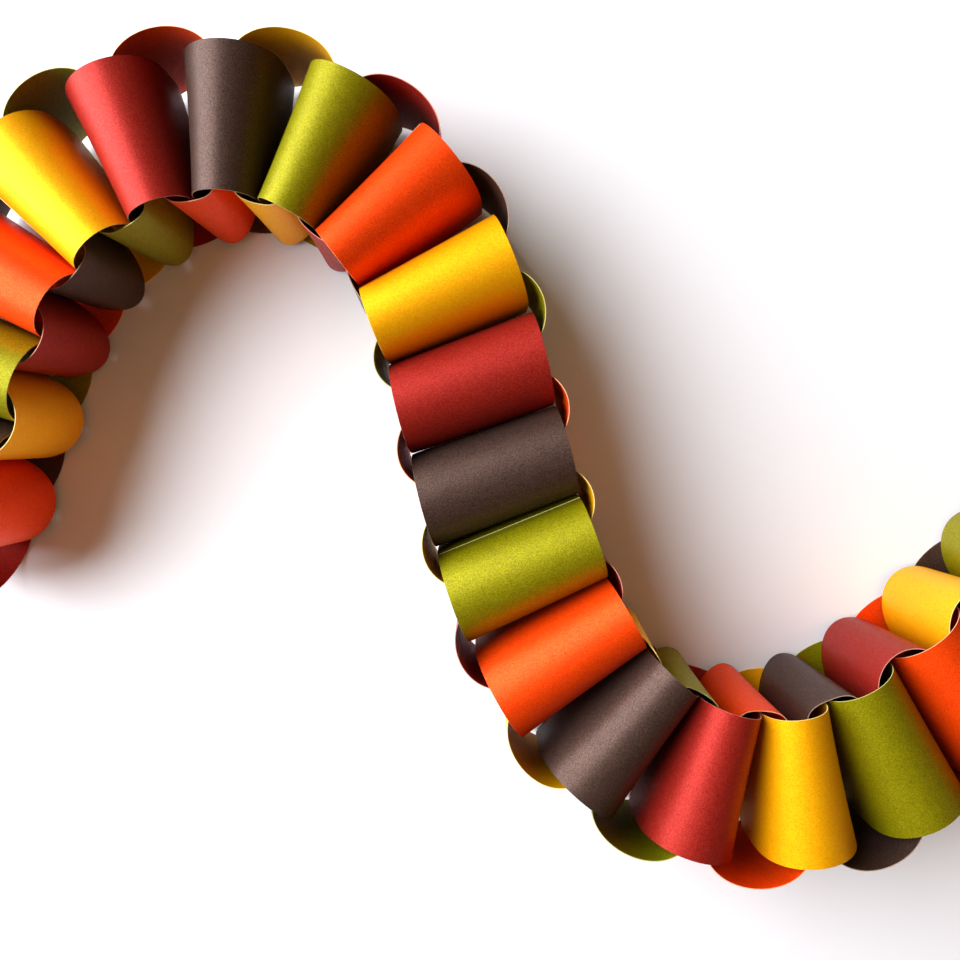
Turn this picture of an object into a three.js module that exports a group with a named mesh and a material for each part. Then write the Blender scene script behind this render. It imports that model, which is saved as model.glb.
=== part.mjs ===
import * as THREE from "three";

// A paper chain garland lying in an S on a flat surface. Every link is one wide strip
// of card rolled into a tall narrow loop and glued where its ends lap. Links take turns:
// arch links run across the garland and stand on the surface, and collar links stand
// on edge through them, each round the touching walls of two arches.

// ---- driving dimensions, in millimetres and degrees ----
const stripWidth = 50.8;
const stripLength = 152.4;
const lapLength = 4.4;
const cardThickness = 0.3;
const glueFilm = 0.2;
const linkGap = 0.35; // air between neighbouring links
const archPitch = 31.9; // from one arch to the next along the garland
const widestRim = 33.4; // an arch on the outside of a bend spreads no further than this
const collarLift = 3.05; // lower rims of the collars above the surface
const facetsAround = 30;

// The arches are numbered along the garland. At each mark its course turns by so many
// degrees an arch, and the arches lean so many degrees out of square to it. Both change
// evenly from mark to mark.
const firstArch = 0;
const lastArch = 20;
const course = [
  { arch: 1, turn: 7, lean: -1 },
  { arch: 3, turn: -17, lean: -1 },
  { arch: 7, turn: -26, lean: -2 },
  { arch: 8, turn: -22, lean: -3 },
  { arch: 10, turn: -1, lean: -6 },
  { arch: 12, turn: 5, lean: -4 },
  { arch: 14, turn: 24, lean: -3 },
  { arch: 16, turn: 24, lean: 0 },
  { arch: 18, turn: 4, lean: 2 },
];
const firstHeading = 58;

// Five colours of shimmer card follow one another along the chain in this order,
// and yellow and brown change places in its second part.
const cards = {
  green: { color: 0x8a8a1c, roughness: 0.45, metalness: 0.25 },
  red: { color: 0x9c2a22, roughness: 0.45, metalness: 0.25 },
  orange: { color: 0xf0541c, roughness: 0.45, metalness: 0.2 },
  brown: { color: 0x55403a, roughness: 0.45, metalness: 0.3 },
  yellow: { color: 0xf8c404, roughness: 0.45, metalness: 0.2 },
};
const earlyOrder = ["red", "orange", "brown", "yellow", "green"];
const lateOrder = ["red", "orange", "yellow", "brown", "green"];
const orderChangesAt = 24; // links before the late order begins

// ---- the course of the garland ----
// A station is a line across the garland, with its middle, its heading and the
// direction to its left. Stations stand at every half arch, so that each arch
// fills the space between two of them and each collar the space between two others.
function courseAt(arch) {
  const last = course.length - 1;
  const place = THREE.MathUtils.clamp(arch, course[0].arch, course[last].arch);
  const next = Math.max(1, course.findIndex((mark) => mark.arch >= place));
  const from = course[next - 1];
  const to = course[next];
  const share = (place - from.arch) / (to.arch - from.arch);
  return {
    turn: THREE.MathUtils.degToRad(THREE.MathUtils.lerp(from.turn, to.turn, share)),
    lean: THREE.MathUtils.degToRad(THREE.MathUtils.lerp(from.lean, to.lean, share)),
  };
}

function layStations() {
  const stations = new Map();
  const middle = new THREE.Vector3();
  let heading = THREE.MathUtils.degToRad(firstHeading);
  for (let half = 2 * firstArch - 2; half <= 2 * lastArch + 2; half += 1) {
    const left = new THREE.Vector3(-Math.sin(heading), Math.cos(heading), 0);
    stations.set(half, { middle: middle.clone(), left });
    const { turn, lean } = courseAt((half + 0.5) / 2);
    const along = heading + turn / 4 + lean;
    middle.x += (archPitch / 2) * Math.cos(along);
    middle.y += (archPitch / 2) * Math.sin(along);
    heading += turn / 2;
  }
  return stations;
}

// The point on a station, so far to the left of its middle.
function acrossStation(station, leftward) {
  return station.middle.clone().addScaledVector(station.left, leftward);
}

// ---- the loop that a strip takes between two walls ----
// A strip pressed between two flat walls lies straight against them and turns over in
// two elastic caps, where its curvature grows as the square root of the sine of its slope.
const loopLength = stripLength - lapLength;
const capSteps = 60;

function unitCap() {
  const points = [new THREE.Vector2(0.5, 0)];
  const scale = 2.39628;
  let across = 0.5;
  for (let step = 1; step <= capSteps; step += 1) {
    const slope = ((step - 0.5) / capSteps) * (Math.PI / 2);
    across -= (Math.sqrt(Math.sin(slope)) * (Math.PI / 2)) / capSteps / scale;
    const rise = (2 / scale) * Math.sqrt(Math.sin((step / capSteps) * (Math.PI / 2)));
    points.push(new THREE.Vector2(step === capSteps ? 0 : across, rise));
  }
  return points;
}

function lengthOf(points) {
  let total = 0;
  for (let i = 1; i < points.length; i += 1) {
    total += points[i].distanceTo(points[i - 1]);
  }
  return total;
}

// A quarter of the loop, from the middle of its right wall to its top. A loop too wide
// to reach both walls with a straight part has its caps pressed lower, to keep its length.
function quarterLoop(width) {
  const quarterLength = loopLength / 4;
  const shaped = (squash) => unitCap().map((p) => new THREE.Vector2(p.x * width, p.y * width * squash));
  let cap = shaped(1);
  const straight = quarterLength - lengthOf(cap);
  if (straight > 0) {
    cap.forEach((p) => { p.y += straight; });
    return [new THREE.Vector2(width / 2, 0), ...cap];
  }
  let low = 0.3;
  let high = 1;
  for (let round = 0; round < 30; round += 1) {
    const middle = (low + high) / 2;
    cap = shaped(middle);
    if (lengthOf(cap) > quarterLength) {
      high = middle;
    } else {
      low = middle;
    }
  }
  return cap;
}

// The point at a distance along the loop from the middle of its right wall, counted
// anticlockwise, moved outwards by an offset.
function loopPoint(quarter, distance, outwards) {
  const around = THREE.MathUtils.euclideanModulo(distance, loopLength);
  const side = Math.floor(around / (loopLength / 4));
  let along = around - side * (loopLength / 4);
  if (side % 2 === 1) {
    along = loopLength / 4 - along;
  }
  let next = 1;
  while (next < quarter.length - 1 && along > quarter[next].distanceTo(quarter[next - 1])) {
    along -= quarter[next].distanceTo(quarter[next - 1]);
    next += 1;
  }
  const from = quarter[next - 1];
  const to = quarter[next];
  const run = to.clone().sub(from).normalize();
  const point = from.clone().addScaledVector(run, along);
  point.x += run.y * outwards;
  point.y -= run.x * outwards;
  if (side === 1 || side === 2) {
    point.x = -point.x;
  }
  if (side >= 2) {
    point.y = -point.y;
  }
  return point;
}

// ---- one strip, rolled up ----
// The flat strip is a box with a facet for each step round the loop and one more for the
// lap. Its length is laid along the loop and its thickness across the loop's line. The lap
// goes inside, under the strip's own start. rim(side, distance, outwards) is the point on
// the strip's near rim (side 0) or far rim (side 1).
const facetLength = loopLength / facetsAround;

// A box's facets are split along one diagonal on its outer face and along the other on its
// inner face. A twisted strip needs the same one on both, or the two faces meet.
function matchDiagonals(strip) {
  const { start, count } = strip.groups[5];
  for (let i = start; i < start + count; i += 6) {
    const c = strip.index.getX(i + 4);
    strip.index.setX(i + 2, c);
    strip.index.setX(i + 3, strip.index.getX(i));
  }
}

function rolledStrip(lapStart, rim) {
  const steps = facetsAround + 1;
  const strip = new THREE.BoxGeometry(steps, stripWidth, cardThickness, steps, 1, 1);
  const position = strip.attributes.position;
  for (let i = 0; i < position.count; i += 1) {
    const step = Math.round(position.getX(i) + steps / 2);
    const side = position.getY(i) < 0 ? 0 : 1;
    const overrun = step > facetsAround ? lapLength : 0;
    const distance = lapStart + Math.min(step, facetsAround) * facetLength + overrun;
    const tucked = step >= facetsAround ? cardThickness + glueFilm : 0;
    const point = rim(side, distance, position.getZ(i) - tucked);
    position.setXYZ(i, point.x, point.y, point.z);
  }
  matchDiagonals(strip);
  strip.computeVertexNormals();
  return strip;
}

// ---- arches ----
// Each rim of an arch is a loop that fills the room between the stations before and
// behind it. Its lowest facet lies on the surface.
const lowestFacet = 0.75 * loopLength;

function archRim(stations, number, leftward) {
  const back = acrossStation(stations.get(2 * number - 1), leftward);
  const front = acrossStation(stations.get(2 * number + 1), leftward);
  const forward = front.clone().sub(back).normalize();
  const middle = back.clone().add(front).multiplyScalar(0.5);
  const room = Math.min(front.distanceTo(back), widestRim);
  const quarter = quarterLoop(room - cardThickness - linkGap);
  const foot = loopPoint(quarter, lowestFacet + facetLength / 2, cardThickness / 2).y;
  return (distance, outwards) => {
    const point = loopPoint(quarter, distance, outwards);
    return middle.clone().addScaledVector(forward, point.x).setZ(point.y - foot);
  };
}

// The lap is on the back wall of an arch, at its lower shoulder, or on a few at its upper.
const highLaps = [4, 8, 12];
const lapRise = 3 * facetLength; // from the middle of the wall

function arch(stations, number) {
  const left = archRim(stations, number, stripWidth / 2);
  const right = archRim(stations, number, -stripWidth / 2);
  const lapStart = loopLength / 2 + (highLaps.includes(number) ? -lapRise : lapRise);
  return rolledStrip(lapStart, (side, distance, outwards) => {
    return (side === 0 ? left : right)(distance, outwards);
  });
}

// ---- collars ----
// A collar's outline fills the room between the middles of two arches. In a bend it
// bulges further on the outside, by this share for each radian of the bend. On the inside
// its upper rim is pressed against the ends of the two arches: past one distance from the
// middle it is squeezed into the little room that is left.
const outerBulge = 0.3;
const pressedFrom = 23;
const pressedRoom = 3.6;
const pressedTurns = [5, 17]; // degrees, where the pressing begins and where it is full

function pressedIn(leftward, pressing) {
  const beyond = Math.abs(leftward) - pressedFrom;
  if (beyond <= 0) {
    return leftward;
  }
  const squeezed = pressedRoom * (1 - Math.exp(-beyond / pressedRoom));
  return Math.sign(leftward) * (pressedFrom + THREE.MathUtils.lerp(beyond, squeezed, pressing));
}

function collar(stations, number) {
  const back = stations.get(2 * number);
  const front = stations.get(2 * number + 2);
  const room = back.middle.distanceTo(front.middle);
  const quarter = quarterLoop(room - cardThickness - linkGap);
  const turn = Math.asin(back.left.clone().cross(front.left).z);
  const bend = THREE.MathUtils.radToDeg(Math.abs(turn));
  const pressing = THREE.MathUtils.smoothstep(bend, pressedTurns[0], pressedTurns[1]);
  const outline = (distance, side) => {
    const point = loopPoint(quarter, distance, 0);
    const inside = point.y * turn > 0;
    const leftward = inside
      ? pressedIn(point.y, side * pressing)
      : point.y * (1 + outerBulge * Math.abs(turn));
    const from = acrossStation(back, leftward);
    return from.lerp(acrossStation(front, leftward), 0.5 + point.x / room);
  };
  return rolledStrip(0, (side, distance, outwards) => {
    const point = outline(distance, side);
    const run = outline(distance + 1, side).sub(outline(distance - 1, side)).normalize();
    point.x += run.y * outwards;
    point.y -= run.x * outwards;
    return point.setZ(collarLift + side * stripWidth);
  });
}

// ---- the chain ----
function cardName(link) {
  const order = link < orderChangesAt ? earlyOrder : lateOrder;
  return order[link % order.length];
}

function linkMesh(kind, link, geometry) {
  const card = cardName(link);
  const mesh = new THREE.Mesh(geometry, new THREE.MeshStandardMaterial(cards[card]));
  mesh.name = `${kind}_${String(link + 1).padStart(2, "0")}_${card}`;
  return mesh;
}

const stations = layStations();
const garland = new THREE.Group();
let link = 0;
for (let number = firstArch; number <= lastArch; number += 1) {
  garland.add(linkMesh("arch", link, arch(stations, number)));
  link += 1;
  if (number < lastArch) {
    garland.add(linkMesh("collar", link, collar(stations, number)));
    link += 1;
  }
}

// The middle of the garland's footprint comes to the origin.
const extent = new THREE.Box3().setFromObject(garland);
const centre = extent.getCenter(new THREE.Vector3());
garland.position.set(-centre.x, -centre.y, -extent.min.z);

export default garland;
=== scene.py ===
import math
from bisect import bisect_left

import bmesh
import bpy
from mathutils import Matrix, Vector


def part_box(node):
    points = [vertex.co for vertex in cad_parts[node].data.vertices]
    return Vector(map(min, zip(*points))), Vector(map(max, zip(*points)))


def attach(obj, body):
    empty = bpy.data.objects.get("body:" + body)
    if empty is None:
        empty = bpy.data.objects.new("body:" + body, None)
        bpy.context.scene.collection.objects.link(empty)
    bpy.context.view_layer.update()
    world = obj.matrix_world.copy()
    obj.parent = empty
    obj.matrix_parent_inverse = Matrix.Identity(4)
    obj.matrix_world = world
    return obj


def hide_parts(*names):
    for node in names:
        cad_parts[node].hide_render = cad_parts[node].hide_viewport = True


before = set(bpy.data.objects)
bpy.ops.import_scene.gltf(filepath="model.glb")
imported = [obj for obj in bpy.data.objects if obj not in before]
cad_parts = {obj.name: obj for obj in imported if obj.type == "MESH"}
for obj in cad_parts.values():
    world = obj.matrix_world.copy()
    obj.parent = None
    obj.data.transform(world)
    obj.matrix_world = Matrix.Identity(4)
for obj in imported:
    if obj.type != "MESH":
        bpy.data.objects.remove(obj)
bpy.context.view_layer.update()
scene = bpy.context.scene

# ---- camera ----
# A lens held level over the garland, looking straight down on it, with the row's +Y at the
# top. It hangs near the red arch in the middle of the S, and its frame is narrower than the
# garland, so that the chain runs out of it on both sides.
camera_height = 0.3540
camera_beside_middle_arch = (0.00396, -0.01824)
camera_lens = 35.06
camera_shift = (-0.0041, -0.0454)

arch_low, arch_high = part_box("arch_21_red")
camera_data = bpy.data.cameras.new("camera")
camera_data.lens = camera_lens
camera_data.shift_x = camera_shift[0]
camera_data.shift_y = camera_shift[1]
camera = bpy.data.objects.new("camera", camera_data)
camera.location = (
    (arch_low[0] + arch_high[0]) / 2 + camera_beside_middle_arch[0],
    (arch_low[1] + arch_high[1]) / 2 + camera_beside_middle_arch[1],
    camera_height,
)
scene.collection.objects.link(camera)
scene.camera = camera

# ---- the course of the garland ----
# The chain lies in an S. At each marked arch its course turns by so many degrees an arch,
# and the arches lean so many degrees out of square to it, both changing evenly between marks.
# A station is a line across the chain: its middle and the direction to its left.
first_arch = 0
last_arch = 20
arch_pitch = 0.0319
first_heading = 58
first_middle = Vector((-0.216458, -0.054860, 0))
course = [
    (1, 7, -1),
    (3, -17, -1),
    (7, -26, -2),
    (8, -22, -3),
    (10, -1, -6),
    (12, 5, -4),
    (14, 24, -3),
    (16, 24, 0),
    (18, 4, 2),
]


def course_at(arch):
    place = min(max(arch, course[0][0]), course[-1][0])
    for start, end in zip(course, course[1:]):
        if place <= end[0]:
            break
    share = (place - start[0]) / (end[0] - start[0])
    turn = start[1] + (end[1] - start[1]) * share
    lean = start[2] + (end[2] - start[2]) * share
    return math.radians(turn), math.radians(lean)


def lay_stations():
    stations = {}
    middle = first_middle.copy()
    heading = math.radians(first_heading)
    for half in range(2 * first_arch - 2, 2 * last_arch + 3):
        stations[half] = (middle.copy(), Vector((-math.sin(heading), math.cos(heading), 0)))
        turn, lean = course_at((half + 0.5) / 2)
        along = heading + turn / 4 + lean
        middle += arch_pitch / 2 * Vector((math.cos(along), math.sin(along), 0))
        heading += turn / 2
    return stations


stations = lay_stations()


def across(station, leftward):
    middle, left = station
    return middle + left * leftward


# ---- the loop of a rolled strip ----
# A strip of stiff card pressed between two walls lies straight against them and turns over
# in two elastic caps, whose curvature grows as the square root of the sine of their slope.
# A loop too wide for a straight part has its caps pressed lower, to keep the strip's length.
strip_width = 0.0508
strip_length = 0.1524
lap_length = 0.0044
card_thickness = 0.0003
glue_film = 0.00008
link_gap = 0.00035
loop_length = strip_length - lap_length
cap_steps = 240
cap_scale = 2.39628
flattest_cap = 0.3
halvings = 30


def unit_cap():
    points = [(0.5, 0.0)]
    sideways = 0.5
    step_angle = math.pi / 2 / cap_steps
    for step in range(1, cap_steps + 1):
        sideways -= math.sqrt(math.sin((step - 0.5) * step_angle)) * step_angle / cap_scale
        rise = 2 / cap_scale * math.sqrt(math.sin(step * step_angle))
        points.append((0.0 if step == cap_steps else sideways, rise))
    return points


cap = unit_cap()


def with_lengths(points):
    lengths = [0.0]
    for a, b in zip(points, points[1:]):
        lengths.append(lengths[-1] + math.dist(a, b))
    return points, lengths


def quarter_loop(width):
    """A quarter of the loop, from the middle of its right wall to its top."""
    wanted = loop_length / 4
    points, lengths = with_lengths([(x * width, y * width) for x, y in cap])
    straight = wanted - lengths[-1]
    if straight > 0:
        return with_lengths([(width / 2, 0.0)] + [(x, y + straight) for x, y in points])
    low, high = flattest_cap, 1.0
    for _ in range(halvings):
        squash = (low + high) / 2
        points, lengths = with_lengths([(x * width, y * width * squash) for x, y in cap])
        if lengths[-1] > wanted:
            high = squash
        else:
            low = squash
    return points, lengths


def loop_point(quarter, distance, outwards=0.0):
    """The point so far round the loop from the middle of its right wall, anticlockwise."""
    points, lengths = quarter
    side, along = divmod(distance % loop_length, loop_length / 4)
    if side % 2 == 1:
        along = loop_length / 4 - along
    to = min(max(bisect_left(lengths, along), 1), len(points) - 1)
    a, b = Vector(points[to - 1]), Vector(points[to])
    run = (b - a).normalized()
    point = a + run * (along - lengths[to - 1])
    point += Vector((run.y, -run.x)) * outwards
    if side in (1, 2):
        point.x = -point.x
    if side >= 2:
        point.y = -point.y
    return point


# ---- shimmer card ----
# Smooth craft card of about 250 grams, coated on both faces with a pearl lacquer: a fine
# cloudy grain with flakes that catch the light, and paler fibres where it has been cut.
def srgb(red, green, blue):
    def linear(value):
        value /= 255
        return value / 12.92 if value <= 0.04045 else ((value + 0.055) / 1.055) ** 2.4

    return (linear(red), linear(green), linear(blue), 1)


cloud_scale = 260
cloud_share = 0.1


def shimmer_grain_group():
    """Node group of a lacquered face: its mottling, its flakes and its height."""
    group = bpy.data.node_groups.new("shimmer grain", "ShaderNodeTree")
    group.interface.new_socket("Grain Scale", in_out="INPUT", socket_type="NodeSocketFloat")
    for name in ("Mottle", "Flakes", "Height"):
        group.interface.new_socket(name, in_out="OUTPUT", socket_type="NodeSocketFloat")
    nodes, links = group.nodes, group.links
    inputs = nodes.new("NodeGroupInput")
    outputs = nodes.new("NodeGroupOutput")
    place = nodes.new("ShaderNodeTexCoord")

    fine = nodes.new("ShaderNodeTexNoise")
    fine.inputs["Detail"].default_value = 3
    fine.inputs["Roughness"].default_value = 0.65
    links.new(place.outputs["Object"], fine.inputs["Vector"])
    links.new(inputs.outputs["Grain Scale"], fine.inputs["Scale"])

    cloudy = nodes.new("ShaderNodeTexNoise")
    cloudy.inputs["Scale"].default_value = cloud_scale
    cloudy.inputs["Detail"].default_value = 3
    links.new(place.outputs["Object"], cloudy.inputs["Vector"])

    mixed = nodes.new("ShaderNodeMix")
    mixed.inputs["Factor"].default_value = cloud_share
    links.new(fine.outputs["Fac"], mixed.inputs[2])
    links.new(cloudy.outputs["Fac"], mixed.inputs[3])
    spread = nodes.new("ShaderNodeMapRange")
    spread.inputs["From Min"].default_value = 0.38
    spread.inputs["From Max"].default_value = 0.62
    links.new(mixed.outputs[0], spread.inputs["Value"])
    links.new(spread.outputs["Result"], outputs.inputs["Mottle"])

    flake_cells = nodes.new("ShaderNodeTexVoronoi")
    links.new(place.outputs["Object"], flake_cells.inputs["Vector"])
    links.new(inputs.outputs["Grain Scale"], flake_cells.inputs["Scale"])
    flakes = nodes.new("ShaderNodeMapRange")
    flakes.inputs["From Min"].default_value = 0.72
    flakes.inputs["From Max"].default_value = 1
    one_number = nodes.new("ShaderNodeSeparateColor")
    links.new(flake_cells.outputs["Color"], one_number.inputs["Color"])
    links.new(one_number.outputs["Red"], flakes.inputs["Value"])
    links.new(flakes.outputs["Result"], outputs.inputs["Flakes"])

    height = nodes.new("ShaderNodeMath")
    height.operation = "ADD"
    links.new(fine.outputs["Fac"], height.inputs[0])
    links.new(one_number.outputs["Green"], height.inputs[1])
    links.new(height.outputs["Value"], outputs.inputs["Height"])
    return group


grain_group = shimmer_grain_group()
grain_scale = 2400
grain_depth = 0.00002


def card_face(name, deep, bright, metallic, roughness):
    """A lacquered face, between its deep and its bright colour by its mottling."""
    material = bpy.data.materials.new(name)
    material.use_nodes = True
    nodes, links = material.node_tree.nodes, material.node_tree.links
    shader = nodes["Principled BSDF"]
    shader.inputs["Metallic"].default_value = metallic
    shader.inputs["Specular IOR Level"].default_value = 0.2
    shader.inputs["Coat Weight"].default_value = 0.03
    shader.inputs["Coat Roughness"].default_value = 0.35

    grain = nodes.new("ShaderNodeGroup")
    grain.node_tree = grain_group
    grain.inputs["Grain Scale"].default_value = grain_scale

    colour = nodes.new("ShaderNodeMix")
    colour.data_type = "RGBA"
    colour.inputs[6].default_value = srgb(*deep)
    colour.inputs[7].default_value = srgb(*bright)
    links.new(grain.outputs["Mottle"], colour.inputs["Factor"])
    links.new(colour.outputs[2], shader.inputs["Base Color"])

    gloss = nodes.new("ShaderNodeMapRange")
    gloss.inputs["To Min"].default_value = roughness + 0.04
    gloss.inputs["To Max"].default_value = roughness - 0.10
    links.new(grain.outputs["Flakes"], gloss.inputs["Value"])
    links.new(gloss.outputs["Result"], shader.inputs["Roughness"])

    bump = nodes.new("ShaderNodeBump")
    bump.inputs["Strength"].default_value = 0.5
    bump.inputs["Distance"].default_value = grain_depth
    links.new(grain.outputs["Height"], bump.inputs["Height"])
    links.new(bump.outputs["Normal"], shader.inputs["Normal"])
    return material


def card_edge(name, pale):
    """The cut edge, where the coloured fibres show without lacquer."""
    material = bpy.data.materials.new(name)
    material.use_nodes = True
    nodes, links = material.node_tree.nodes, material.node_tree.links
    shader = nodes["Principled BSDF"]
    shader.inputs["Roughness"].default_value = 0.8
    place = nodes.new("ShaderNodeTexCoord")
    fibres = nodes.new("ShaderNodeTexNoise")
    fibres.inputs["Scale"].default_value = 3000
    links.new(place.outputs["Object"], fibres.inputs["Vector"])
    colour = nodes.new("ShaderNodeMix")
    colour.data_type = "RGBA"
    colour.inputs[6].default_value = srgb(*[0.86 * value for value in pale])
    colour.inputs[7].default_value = srgb(*pale)
    links.new(fibres.outputs["Fac"], colour.inputs["Factor"])
    links.new(colour.outputs[2], shader.inputs["Base Color"])
    return material


cards = {
    "green": (
        card_face("green shimmer card", (118, 112, 0), (156, 150, 5), 0.50, 0.50),
        card_edge("green card edge", (205, 205, 120)),
    ),
    "red": (
        card_face("red shimmer card", (136, 22, 15), (172, 44, 32), 0.45, 0.50),
        card_edge("red card edge", (225, 150, 130)),
    ),
    "orange": (
        card_face("orange shimmer card", (228, 54, 0), (255, 80, 3), 0.45, 0.50),
        card_edge("orange card edge", (255, 190, 140)),
    ),
    "brown": (
        card_face("brown shimmer card", (56, 40, 34), (88, 66, 57), 0.50, 0.46),
        card_edge("brown card edge", (180, 150, 130)),
    ),
    "yellow": (
        card_face("yellow shimmer card", (246, 158, 0), (255, 194, 0), 0.45, 0.50),
        card_edge("yellow card edge", (255, 235, 150)),
    ),
}
early_order = ["red", "orange", "brown", "yellow", "green"]
late_order = ["red", "orange", "yellow", "brown", "green"]
order_changes_at = 24


def card_name(link):
    order = early_order if link < order_changes_at else late_order
    return order[link % len(order)]


# ---- one rolled strip ----
# Each link is one flat strip, rolled up and pasted where its ends lap. The last of its
# length dips under its own start over the length of one tuck.
steps_along = 150
steps_across = 12
tuck_length = 0.0049
edge_rounding = 0.00007


def eased(share):
    share = min(max(share, 0.0), 1.0)
    return share * share * (3 - 2 * share)


def rolled_strip(name, card, place):
    """A strip whose point so far along and across it lies at place(distance, share, tucked)."""
    mesh = bpy.data.meshes.new(name)
    strip = bmesh.new()
    strip.loops.layers.uv.new("strip")
    bmesh.ops.create_grid(
        strip, x_segments=steps_along, y_segments=steps_across, size=1, calc_uvs=True
    )
    for vert in strip.verts:
        distance = (vert.co.x + 1) / 2 * strip_length
        share = (vert.co.y + 1) / 2
        dip = eased((distance - loop_length + tuck_length) / tuck_length)
        vert.co = place(distance, share, -dip * (card_thickness + glue_film))
    bmesh.ops.recalc_face_normals(strip, faces=strip.faces)
    strip.to_mesh(mesh)
    strip.free()
    mesh.shade_smooth()
    face, edge = cards[card]
    mesh.materials.append(face)
    mesh.materials.append(edge)
    piece = bpy.data.objects.new(name, mesh)
    scene.collection.objects.link(piece)

    wall = piece.modifiers.new("card thickness", "SOLIDIFY")
    wall.thickness = card_thickness
    wall.offset = 0
    wall.material_offset_rim = 1
    rounding = piece.modifiers.new("softened cut", "BEVEL")
    rounding.width = edge_rounding
    rounding.segments = 2
    rounding.limit_method = "ANGLE"
    rounding.angle_limit = math.radians(50)
    rounding.harden_normals = True
    return piece


# ---- arch links ----
# The links that run across the chain and stand on the table, each a tall narrow loop whose
# rims fill the room between the links before and behind it. The lap is on the back wall,
# at its lower shoulder, or on a few at its upper.
widest_rim = 0.0334
lap_rise = 0.0148
high_laps = (4, 8, 12)


def arch_rim(number, leftward):
    back = across(stations[2 * number - 1], leftward)
    front = across(stations[2 * number + 1], leftward)
    room = min((front - back).length, widest_rim)
    quarter = quarter_loop(room - card_thickness - link_gap)
    forward = (front - back).normalized()
    middle = (back + front) / 2
    foot = loop_point(quarter, 0.75 * loop_length, card_thickness / 2).y

    def point_at(distance, outwards):
        point = loop_point(quarter, distance, outwards)
        return middle + forward * point.x + Vector((0, 0, point.y - foot))

    return point_at


def make_arch(number, link):
    left = arch_rim(number, strip_width / 2)
    right = arch_rim(number, -strip_width / 2)
    lap_start = loop_length / 2 + (-lap_rise if number in high_laps else lap_rise)

    def place(distance, share, outwards):
        start = left(lap_start + distance, outwards)
        return start.lerp(right(lap_start + distance, outwards), share)

    node = f"arch_{link + 1:02d}_{card_name(link)}"
    piece = rolled_strip(f"link_{node}", card_name(link), place)
    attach(piece, "root")
    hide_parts(node)


for number in range(first_arch, last_arch + 1):
    make_arch(number, 2 * (number - first_arch))

# ---- collar links ----
# The links that stand on edge through the arches, each round the touching walls of two of
# them. In a bend a collar bulges further on the outside, and on the inside its upper rim is
# pressed flat against the ends of the two arches.
collar_lift = 0.00305
outer_bulge = 0.3
pressed_from = 0.023
pressed_room = 0.0036
pressed_turns = (5, 17)
direction_step = 0.0005


def pressed_in(leftward, pressing):
    beyond = abs(leftward) - pressed_from
    if beyond <= 0:
        return leftward
    squeezed = pressed_room * (1 - math.exp(-beyond / pressed_room))
    return math.copysign(pressed_from + beyond + (squeezed - beyond) * pressing, leftward)


def make_collar(number, link):
    back = stations[2 * number]
    front = stations[2 * number + 2]
    room = (front[0] - back[0]).length
    quarter = quarter_loop(room - card_thickness - link_gap)
    turn = math.asin(back[1].cross(front[1]).z)
    least, most = pressed_turns
    pressing = eased((math.degrees(abs(turn)) - least) / (most - least))

    def outline(distance, share):
        point = loop_point(quarter, distance)
        if point.y * turn > 0:
            leftward = pressed_in(point.y, share * pressing)
        else:
            leftward = point.y * (1 + outer_bulge * abs(turn))
        return across(back, leftward).lerp(across(front, leftward), 0.5 + point.x / room)

    def place(distance, share, outwards):
        before = outline(distance - direction_step, share)
        run = (outline(distance + direction_step, share) - before).normalized()
        point = outline(distance, share) + Vector((run.y, -run.x, 0)) * outwards
        return point + Vector((0, 0, collar_lift + share * strip_width))

    node = f"collar_{link + 1:02d}_{card_name(link)}"
    piece = rolled_strip(f"link_{node}", card_name(link), place)
    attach(piece, "root")
    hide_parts(node)


for number in range(first_arch, last_arch):
    make_collar(number, 2 * (number - first_arch) + 1)

# ---- table top and light ----
# A plain white surface, one window-like soft lamp low at the upper left, and a faint warm
# light from the rest of the room.
floor_size = 4
floor_drop = 0.0002
floor_mesh = bpy.data.meshes.new("floor")
floor_sheet = bmesh.new()
bmesh.ops.create_grid(floor_sheet, x_segments=1, y_segments=1, size=floor_size / 2)
bmesh.ops.translate(floor_sheet, verts=floor_sheet.verts, vec=(0, 0, -floor_drop))
floor_sheet.to_mesh(floor_mesh)
floor_sheet.free()
floor = bpy.data.objects.new("floor", floor_mesh)
floor_paint = bpy.data.materials.new("white table top")
floor_paint.use_nodes = True
floor_shader = floor_paint.node_tree.nodes["Principled BSDF"]
floor_shader.inputs["Base Color"].default_value = (0.86, 0.86, 0.88, 1)
floor_shader.inputs["Roughness"].default_value = 0.6
floor_mesh.materials.append(floor_paint)
scene.collection.objects.link(floor)

lamp_azimuth = math.radians(164)
lamp_elevation = math.radians(30)
lamp_distance = 1.3
lamp_data = bpy.data.lights.new("soft lamp", "AREA")
lamp_data.shape = "DISK"
lamp_data.size = 1.9
lamp_data.energy = 78
lamp_data.color = (0.90, 0.94, 1.0)
lamp = bpy.data.objects.new("soft lamp", lamp_data)
lamp_direction = Vector(
    (
        math.cos(lamp_azimuth) * math.cos(lamp_elevation),
        math.sin(lamp_azimuth) * math.cos(lamp_elevation),
        math.sin(lamp_elevation),
    )
)
lamp.location = lamp_direction * lamp_distance
lamp.rotation_mode = "QUATERNION"
lamp.rotation_quaternion = lamp_direction.to_track_quat("Z", "Y")
scene.collection.objects.link(lamp)

world = bpy.data.worlds.new("room light")
world.use_nodes = True
world.node_tree.nodes["Background"].inputs["Color"].default_value = (1.0, 0.66, 0.40, 1)
world.node_tree.nodes["Background"].inputs["Strength"].default_value = 0.25
scene.world = world
scene.view_settings.view_transform = "Standard"
